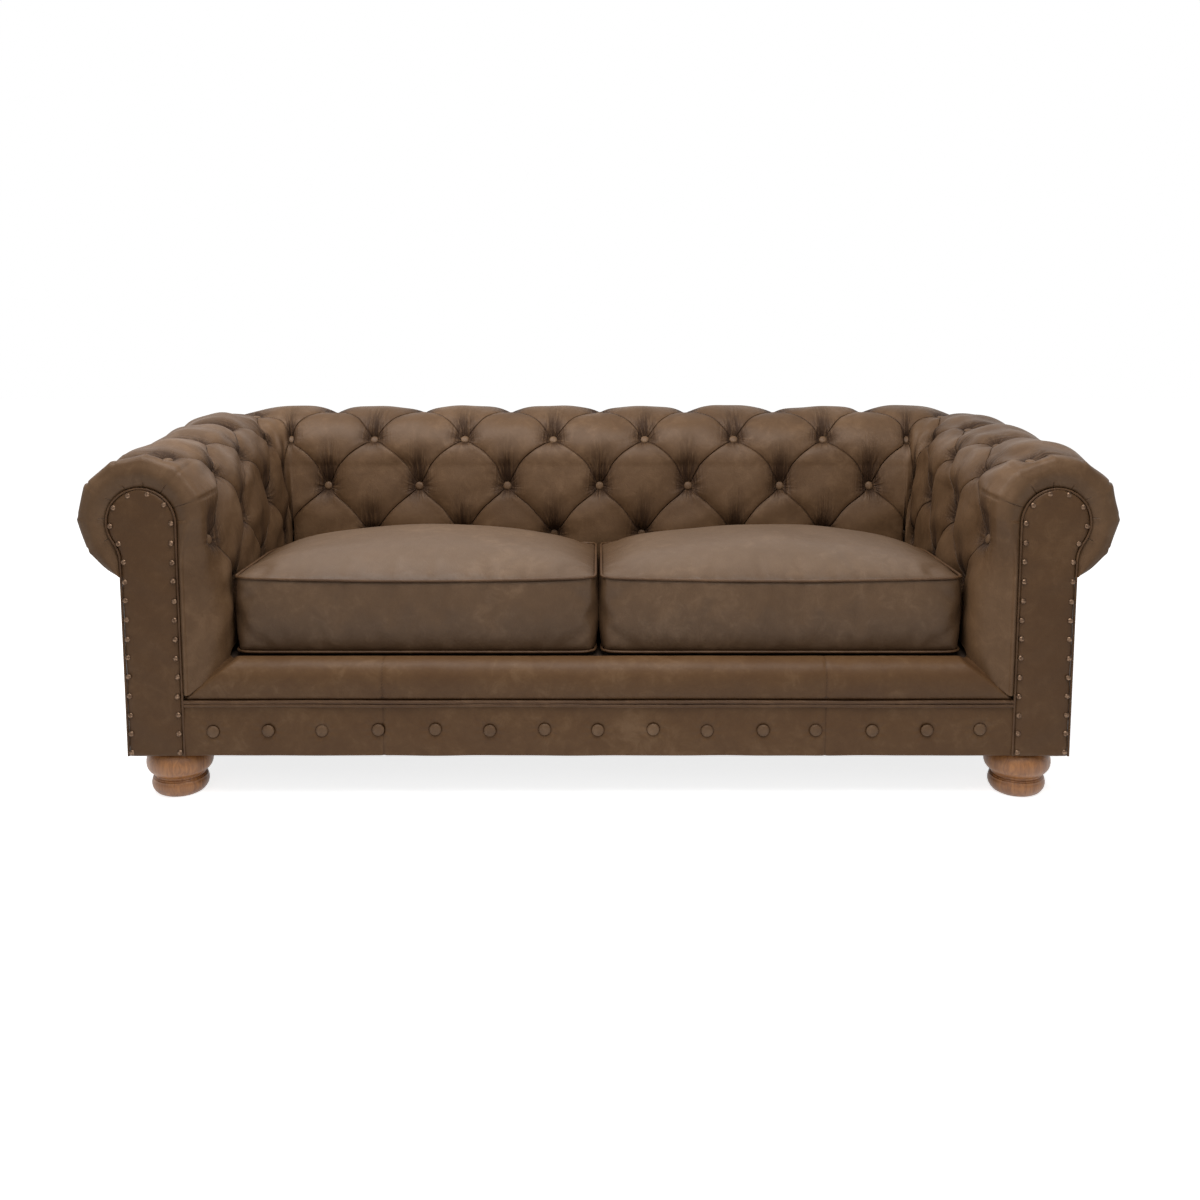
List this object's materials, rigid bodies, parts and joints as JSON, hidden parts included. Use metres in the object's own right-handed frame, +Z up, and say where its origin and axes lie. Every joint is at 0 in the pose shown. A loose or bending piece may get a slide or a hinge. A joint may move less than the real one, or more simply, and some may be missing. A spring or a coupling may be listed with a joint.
{
  "type": "chesterfield sofa",
  "caption": "Two-seat leather sofa with rolled, deep-buttoned arms and back at one height, nailed arm facings, loose seat cushions and turned bun feet.",
  "frame": {"origin": "on the floor under the middle of the sofa, centre of the overall box", "axes": "+X to the viewer's right along the seat, -Y towards the front, +Z up"},
  "size_m": [2.1928, 0.9577, 0.7579],
  "materials": {
    "leather": "satin",
    "cushion_leather": "satin",
    "facing_leather": "satin",
    "welt_leather": "satin",
    "button_leather": "satin",
    "foot_wood": "satin",
    "frame_wood": "matte",
    "foam": "matte",
    "webbing": "matte",
    "deck_cloth": "matte",
    "lining": "matte",
    "nail_brass": "satin",
    "bolt_steel": "satin",
    "zip_tape": "matte",
    "zip_brass": "satin"
  },
  "bodies": {
    "sofa_frame": {"arm_and_back_webbing": "webbing", "back_buttons": "button_leather", "back_cover": "leather", "back_foam": "foam", "back_rail": "frame_wood", "back_top_rail": "frame_wood", "border_buttons": "button_leather", "border_welt": "welt_leather", "bottom_lining": "lining", "centre_stretcher": "frame_wood", "corner_top_rails": "frame_wood", "deck_cloth": "deck_cloth", "deck_foam": "foam", "foot_blocks": "frame_wood", "front_border": "facing_leather", "front_edge_roll": "leather", "front_feet": "foot_wood", "front_rail": "frame_wood", "hanger_bolts": "bolt_steel", "left_arm_buttons": "button_leather", "left_arm_cover": "leather", "left_arm_foam": "foam", "left_arm_post": "frame_wood", "left_arm_top_rail": "frame_wood", "left_corner_cover": "leather", "left_corner_foam": "foam", "left_facing": "facing_leather", "left_facing_welt": "welt_leather", "left_outside_panel": "leather", "left_side_rail": "frame_wood", "nail_heads": "nail_brass", "outside_back_panel": "leather", "rear_corner_rails": "frame_wood", "rear_feet": "foot_wood", "right_arm_buttons": "button_leather", "right_arm_cover": "leather", "right_arm_foam": "foam", "right_arm_post": "frame_wood", "right_arm_top_rail": "frame_wood", "right_corner_cover": "leather", "right_corner_foam": "foam", "right_facing": "facing_leather", "right_facing_welt": "welt_leather", "right_outside_panel": "leather", "right_side_rail": "frame_wood", "seat_webbing_cross": "webbing", "seat_webbing_long": "webbing", "stuffing_rails": "frame_wood", "tacking_strips": "frame_wood", "uprights": "frame_wood"},
    "left_cushion": {"left_cushion_case": "cushion_leather", "left_cushion_foam": "foam", "left_cushion_piping": "welt_leather", "left_cushion_zip": "zip_tape"},
    "right_cushion": {"right_cushion_case": "cushion_leather", "right_cushion_foam": "foam", "right_cushion_piping": "welt_leather", "right_cushion_zip": "zip_tape"},
    "left_zip": {"left_zip_slider": "zip_brass"},
    "right_zip": {"right_zip_slider": "zip_brass"}
  },
  "joints": [
    {"name": "left_cushion_lift", "type": "slide", "parent": "sofa_frame", "child": "left_cushion", "axis": [0, 0, 1], "range_m": [0, 0.5]},
    {"name": "right_cushion_lift", "type": "slide", "parent": "sofa_frame", "child": "right_cushion", "axis": [0, 0, 1], "range_m": [0, 0.5]},
    {"name": "left_zip_slide", "type": "slide", "parent": "left_cushion", "child": "left_zip", "axis": [-1, 0, 0], "range_m": [0, 0.56]},
    {"name": "right_zip_slide", "type": "slide", "parent": "right_cushion", "child": "right_zip", "axis": [-1, 0, 0], "range_m": [0, 0.56]}
  ]
}
